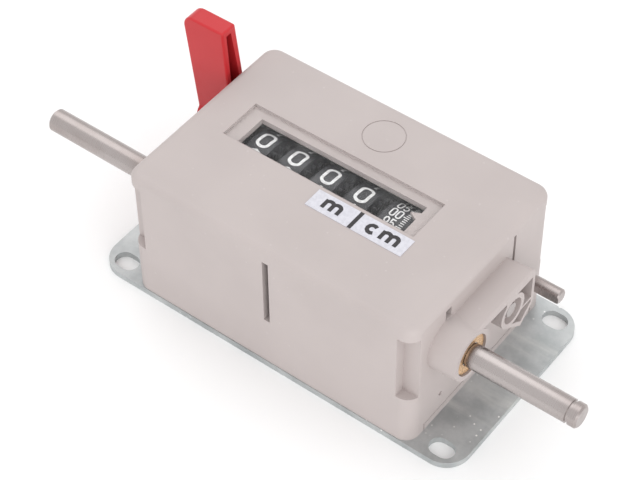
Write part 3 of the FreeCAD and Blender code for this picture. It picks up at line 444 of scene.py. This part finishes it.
def centimetre_scale(paint):
    mesh = bmesh.new()
    x = CM_HIGH.x - CM_RIM_FROM_SIDE
    for step in range(CM_NUMBER_COUNT):
        angle = CM_ANGLE + math.radians(360 / CM_NUMBER_COUNT * step)
        tens, units = divmod(step * CM_STEP, 10)
        for digit, shift in ((tens, CM_TENS_X), (units, CM_UNITS_X)):
            lift = rim_lift(x + shift, angle, PRINT_THICK)
            add_strokes(mesh, digit_strokes(digit), CM_SIZE, CM_STROKE, lift)
    for tick in range(TICK_COUNT):
        angle = CM_ANGLE + 2 * math.pi * tick / TICK_COUNT
        length = TICK_SHORT if tick % CM_STEP else TICK_LONG
        line = [(TICK_END - length, 0.0), (TICK_END, 0.0)]
        add_ribbon(mesh, line, TICK_WIDE / 2, rim_lift(x, angle, PRINT_THICK))
    finish_piece("centimetre_scale", mesh, paint, "cm")


# ---- print on the unit label ----------------------------------------------------------------

LETTER_HIGH, LETTER_STROKE = 3.22 * MM, 0.84 * MM
LETTER_M_WIDE, LETTER_C_WIDE = 4.3 * MM, 2.8 * MM
LETTER_PLACES = (4.83, 14.24, 18.35)                                 # mm from the label's left end
BAR_PLACE = 10.4 * MM


def unit_print(paint):
    """The letters m and cm, either side of a dividing line."""
    mesh = bmesh.new()
    middle_y = (LABEL_LOW.y + LABEL_HIGH.y) / 2
    letters = ((letter_m(1.0), LETTER_M_WIDE), (letter_c(1.0), LETTER_C_WIDE), (letter_m(1.0), LETTER_M_WIDE))
    for (strokes, wide), x in zip(letters, LETTER_PLACES):
        lift = flat_lift(LABEL_LOW.x + x * MM, middle_y, LABEL_HIGH.z, PRINT_THICK)
        add_strokes(mesh, strokes, (wide, LETTER_HIGH), LETTER_STROKE, lift)
    bar = [(0.0, LABEL_LOW.y - middle_y), (0.0, LABEL_HIGH.y - middle_y)]
    lift = flat_lift(LABEL_LOW.x + BAR_PLACE, middle_y, LABEL_HIGH.z, PRINT_THICK)
    add_ribbon(mesh, bar, LETTER_STROKE / 2, lift)
    finish_piece("unit_print", mesh, paint, "root")


# ---- camera, floor and light ----------------------------------------------------------------

CAMERA_TARGET = Vector((-1.22, -4.38, 20.0)) * MM
CAMERA_DISTANCE = 0.3973
CAMERA_AZIMUTH, CAMERA_ELEVATION, CAMERA_ROLL = map(math.radians, (37.63, 47.99, -0.56))
CAMERA_LENS = 112.8


def make_camera():
    data = bpy.data.cameras.new("camera")
    data.lens = CAMERA_LENS
    data.clip_start, data.clip_end = 0.01, 20
    camera = bpy.data.objects.new("camera", data)
    bpy.context.scene.collection.objects.link(camera)
    outward = Vector((math.sin(CAMERA_AZIMUTH) * math.cos(CAMERA_ELEVATION),
                      -math.cos(CAMERA_AZIMUTH) * math.cos(CAMERA_ELEVATION), math.sin(CAMERA_ELEVATION)))
    turn = outward.to_track_quat("Z", "Y").to_matrix().to_4x4() @ Matrix.Rotation(CAMERA_ROLL, 4, "Z")
    camera.matrix_world = Matrix.Translation(CAMERA_TARGET + outward * CAMERA_DISTANCE) @ turn
    bpy.context.scene.camera = camera


def make_light(name, place, size, power, target=Vector((0, 0, 0.015))):
    data = bpy.data.lights.new(name, "AREA")
    data.size, data.energy = size, power
    light = bpy.data.objects.new(name, data)
    bpy.context.scene.collection.objects.link(light)
    light.location = place
    light.rotation_euler = (target - light.location).to_track_quat("-Z", "Y").to_euler()


def make_studio():
    world = bpy.data.worlds.new("studio")
    bpy.context.scene.world = world
    world.use_nodes = True
    background = world.node_tree.nodes["Background"]
    background.inputs["Color"].default_value = (1, 1, 1, 1)
    background.inputs["Strength"].default_value = 1.0
    mesh = bpy.data.meshes.new("floor")
    reach = 3.0
    mesh.from_pydata([(-reach, -reach, 0), (reach, -reach, 0), (reach, reach, 0), (-reach, reach, 0)], [],
                     [(0, 1, 2, 3)])
    floor = bpy.data.objects.new("floor", mesh)
    bpy.context.scene.collection.objects.link(floor)
    mesh.materials.append(Paint("floor_white", Base_Color=(0.95, 0.95, 0.95), Roughness=0.9).material)
    make_light("back_left", Vector((-0.45, 0.3, 0.9)), 0.9, 2.0)
    make_light("front_right", Vector((0.6, -0.45, 0.35)), 0.6, 2.0)
    bpy.context.scene.view_settings.view_transform = "Standard"


make_camera()
make_studio()
dress_nodes()
white_print = numeral_white()
for wheel in WHEELS:
    metre_numerals(wheel, white_print)
centimetre_scale(white_print)
unit_print(print_black())
